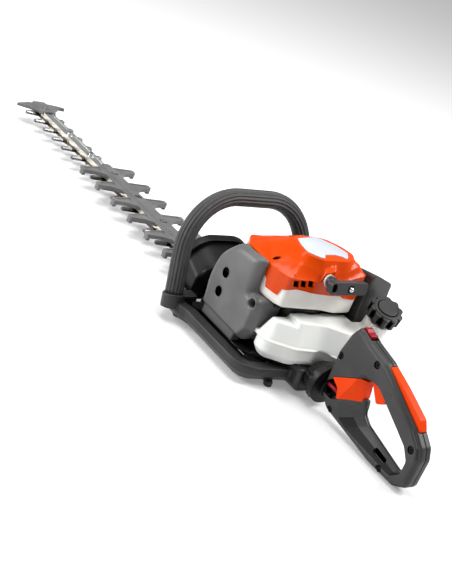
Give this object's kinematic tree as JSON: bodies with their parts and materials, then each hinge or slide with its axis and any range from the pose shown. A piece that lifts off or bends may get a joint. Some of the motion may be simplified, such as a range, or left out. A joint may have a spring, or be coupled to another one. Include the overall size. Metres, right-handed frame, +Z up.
{
  "type": "petrol hedge trimmer",
  "caption": "Petrol hedge trimmer with a double-sided reciprocating blade, arched front handle, swivelling rear handle and recoil starter.",
  "frame": {"origin": "where the crankshaft's upright axis meets the ground, on the skid pad under the gearbox", "axes": "+X back to the rear handle (the blade points to -X), +Y to the machine's right, +Z up"},
  "size_m": [1.2032, 0.284, 0.2085],
  "materials": {
    "blade_steel": "ground, satin",
    "bar_steel": "satin",
    "fastener_steel": "zinc plated",
    "black_plastic": "fine grain",
    "handle_plastic": "fine grain",
    "cover_plastic": "satin",
    "orange_plastic": "gloss",
    "pale_plastic": "satin",
    "tank_plastic": "translucent",
    "red_plastic": "gloss",
    "eyelet_plastic": "gloss",
    "grip_rubber": "ribbed",
    "black_rubber": "matte",
    "bulb_rubber": "translucent",
    "handle_tube": "powder coat",
    "cast_alloy": "as cast",
    "hardened_steel": "ground",
    "clutch_lining": "sintered",
    "muffler_steel": "heat tinted",
    "brass": "satin",
    "plug_ceramic": "glazed",
    "pulley_plastic": "satin",
    "spring_steel": "blued",
    "rope": "braided",
    "filter_foam": "pleated"
  },
  "bodies": {
    "machine": {"guide_bar": "bar_steel", "blade_bolts": "fastener_steel", "tip_guard": "black_plastic", "blade_guard": "black_plastic", "gearbox_housing": "cast_alloy", "gearbox_cover": "cast_alloy", "gearbox_screws": "fastener_steel", "gearbox_bearings": "hardened_steel", "crankcase": "cast_alloy", "crank_bearings": "hardened_steel", "cylinder": "cast_alloy", "spark_plug": "plug_ceramic", "spark_plug_boot": "black_rubber", "ignition_module": "black_plastic", "muffler": "muffler_steel", "carburettor": "cast_alloy", "muffler_cover": "cover_plastic", "cover_screws": "fastener_steel", "fan_housing": "pale_plastic", "starter_cover": "orange_plastic", "rope_eyelet": "eyelet_plastic", "recoil_spring": "spring_steel", "air_filter_cover": "handle_plastic", "air_filter": "filter_foam", "fuel_tank": "tank_plastic", "chassis": "black_plastic", "front_handle_tube": "handle_tube", "front_handle_grip": "grip_rubber", "hand_shield": "black_plastic", "engine_tray": "black_plastic", "antivibration_mounts": "black_rubber", "swivel_housing": "black_plastic"},
    "upper_blade": {"upper_blade": "blade_steel"},
    "lower_blade": {"lower_blade": "blade_steel"},
    "gear": {"drive_gear": "hardened_steel"},
    "upper_strap": {"upper_strap": "hardened_steel"},
    "lower_strap": {"lower_strap": "hardened_steel"},
    "drum": {"clutch_drum": "hardened_steel"},
    "crank": {"crankshaft": "hardened_steel", "flywheel": "cast_alloy"},
    "front_shoe": {"clutch_shoe_front": "clutch_lining"},
    "rear_shoe": {"clutch_shoe_rear": "clutch_lining"},
    "piston": {"piston": "cast_alloy"},
    "connecting_rod": {"connecting_rod": "hardened_steel"},
    "pulley": {"starter_pulley": "pulley_plastic", "rope_winding": "rope"},
    "pull_grip": {"recoil_handle": "handle_plastic", "recoil_knob": "fastener_steel", "recoil_rope": "rope"},
    "fuel_cap": {"fuel_cap": "handle_plastic"},
    "throttle_valve": {"throttle_valve": "brass"},
    "choke_lever": {"choke_lever": "handle_plastic"},
    "primer_bulb": {"primer_bulb": "bulb_rubber"},
    "rear_handle": {"rear_handle_left": "handle_plastic", "rear_handle_right": "handle_plastic", "rear_handle_screws": "fastener_steel"},
    "trigger": {"throttle_trigger": "orange_plastic"},
    "lockout": {"throttle_lockout": "orange_plastic"},
    "stop_switch": {"stop_switch": "red_plastic"},
    "latch": {"handle_latch": "orange_plastic"}
  },
  "joints": [
    {"name": "drum_spin", "type": "hinge", "parent": "machine", "child": "drum", "pos_m": [0, 0, 0.036], "axis": [0, 0, 1], "continuous": true},
    {"name": "gear_spin", "type": "hinge", "parent": "machine", "child": "gear", "pos_m": [-0.054, 0, 0.036], "axis": [0, 0, 1], "continuous": true},
    {"name": "upper_strap_turn", "type": "hinge", "parent": "gear", "child": "upper_strap", "pos_m": [-0.054, 0.01, 0.031], "axis": [0, 0, 1], "continuous": true},
    {"name": "lower_strap_turn", "type": "hinge", "parent": "gear", "child": "lower_strap", "pos_m": [-0.054, -0.01, 0.017], "axis": [0, 0, 1], "continuous": true},
    {"name": "upper_blade_slide", "type": "slide", "parent": "machine", "child": "upper_blade", "axis": [1, 0, 0], "range_m": [-0.01, 0.01]},
    {"name": "lower_blade_slide", "type": "slide", "parent": "machine", "child": "lower_blade", "axis": [1, 0, 0], "range_m": [-0.01, 0.01]},
    {"name": "crank_spin", "type": "hinge", "parent": "machine", "child": "crank", "pos_m": [0, 0, 0.088], "axis": [0, 0, 1], "continuous": true},
    {"name": "front_shoe_slide", "type": "slide", "parent": "crank", "child": "front_shoe", "axis": [-1, 0, 0], "range_m": [0, 0.0008]},
    {"name": "rear_shoe_slide", "type": "slide", "parent": "crank", "child": "rear_shoe", "axis": [1, 0, 0], "range_m": [0, 0.0008]},
    {"name": "piston_slide", "type": "slide", "parent": "machine", "child": "piston", "axis": [1, 0, 0], "range_m": [0, 0.028]},
    {"name": "rod_swing", "type": "hinge", "parent": "piston", "child": "connecting_rod", "pos_m": [-0.084, 0, 0.088], "axis": [0, 0, 1], "range_deg": [-11.5, 11.5]},
    {"name": "recoil_pull", "type": "slide", "parent": "machine", "child": "pull_grip", "axis": [0.9781, 0, 0.2079], "range_m": [0, 0.6]},
    {"name": "pulley_turn", "type": "hinge", "parent": "machine", "child": "pulley", "pos_m": [0, 0, 0.162], "axis": [0, 0, 1], "range_deg": [0, 1440]},
    {"name": "fuel_cap_turn", "type": "hinge", "parent": "machine", "child": "fuel_cap", "pos_m": [0.095, 0.09, 0.147], "axis": [0.301, -0.1405, 0.9432], "range_deg": [0, 360]},
    {"name": "throttle_valve_turn", "type": "hinge", "parent": "machine", "child": "throttle_valve", "pos_m": [-0.078, 0.053, 0.088], "axis": [0, 0, 1], "range_deg": [0, 80]},
    {"name": "choke_turn", "type": "hinge", "parent": "machine", "child": "choke_lever", "pos_m": [-0.03, 0.12, 0.098], "axis": [0, -1, 0], "range_deg": [0, 45]},
    {"name": "primer_press", "type": "slide", "parent": "machine", "child": "primer_bulb", "axis": [1, 0, 0], "range_m": [0, 0.004], "stiffness_N_per_m": 1500},
    {"name": "handle_swivel", "type": "hinge", "parent": "machine", "child": "rear_handle", "pos_m": [0.1284, 0, 0.041], "axis": [1, 0, 0], "range_deg": [-90, 90]},
    {"name": "trigger_pull", "type": "hinge", "parent": "rear_handle", "child": "trigger", "pos_m": [0.2144, 0, 0.119], "axis": [0, -1, 0], "range_deg": [0, 20], "stiffness_Nm_per_rad": 0.3},
    {"name": "lockout_press", "type": "hinge", "parent": "rear_handle", "child": "lockout", "pos_m": [0.2324, 0, 0.122], "axis": [0, 1, 0], "range_deg": [0, 9], "stiffness_Nm_per_rad": 0.4},
    {"name": "switch_rock", "type": "hinge", "parent": "rear_handle", "child": "stop_switch", "pos_m": [0.1584, 0, 0.15], "axis": [0, 1, 0], "range_deg": [0, 12], "stiffness_Nm_per_rad": 0.2},
    {"name": "latch_slide", "type": "slide", "parent": "rear_handle", "child": "latch", "axis": [0.848, 0, 0.5299], "range_m": [0, 0.005], "stiffness_N_per_m": 800}
  ],
  "couplings": [
    {"joint": "gear_spin", "follows": "drum_spin", "ratio": -0.24138},
    {"joint": "upper_strap_turn", "follows": "drum_spin", "ratio": 0.24138},
    {"joint": "lower_strap_turn", "follows": "drum_spin", "ratio": 0.24138},
    {"joint": "lower_blade_slide", "follows": "upper_blade_slide", "ratio": -1},
    {"joint": "rear_shoe_slide", "follows": "front_shoe_slide", "ratio": 1},
    {"joint": "pulley_turn", "follows": "recoil_pull", "rad_per_m": 41.667},
    {"joint": "throttle_valve_turn", "follows": "trigger_pull", "ratio": 4}
  ]
}
